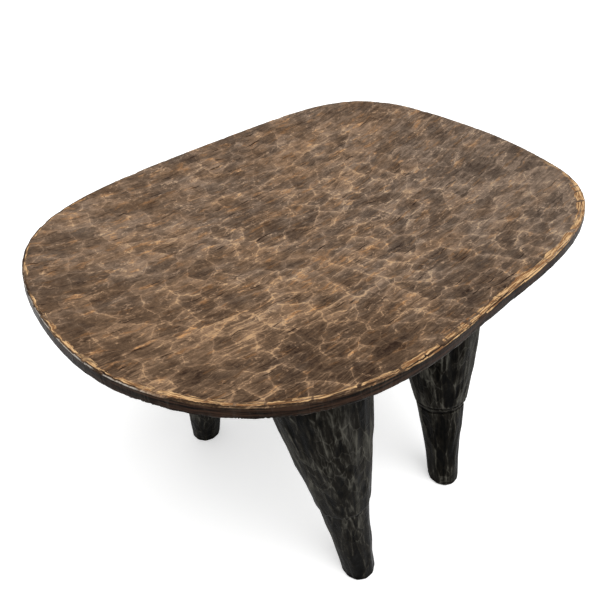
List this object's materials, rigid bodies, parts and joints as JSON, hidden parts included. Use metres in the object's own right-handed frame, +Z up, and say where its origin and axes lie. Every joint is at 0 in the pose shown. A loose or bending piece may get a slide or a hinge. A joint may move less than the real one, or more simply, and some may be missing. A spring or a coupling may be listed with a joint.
{
  "type": "carved wooden stool",
  "caption": "Low carved hardwood stool with an oval dished seat, a thin worn rim and splayed tapering legs with a ring cut round each ankle.",
  "frame": {"origin": "on the floor, under the middle of the seat's outline", "axes": "+X along the seat's length and grain, +Y across the seat, +Z up"},
  "size_m": [0.518, 0.388, 0.3626],
  "materials": {
    "seat_wood": "dark stained hardwood, worn pale on the adze ridges and the rim, satin",
    "leg_wood": "near-black stained hardwood with adze flats, satin"
  },
  "bodies": {
    "root": {"seat": "seat_wood", "leg_front_left": "leg_wood", "leg_front_right": "leg_wood", "leg_rear_left": "leg_wood", "leg_rear_right": "leg_wood"}
  },
  "joints": []
}
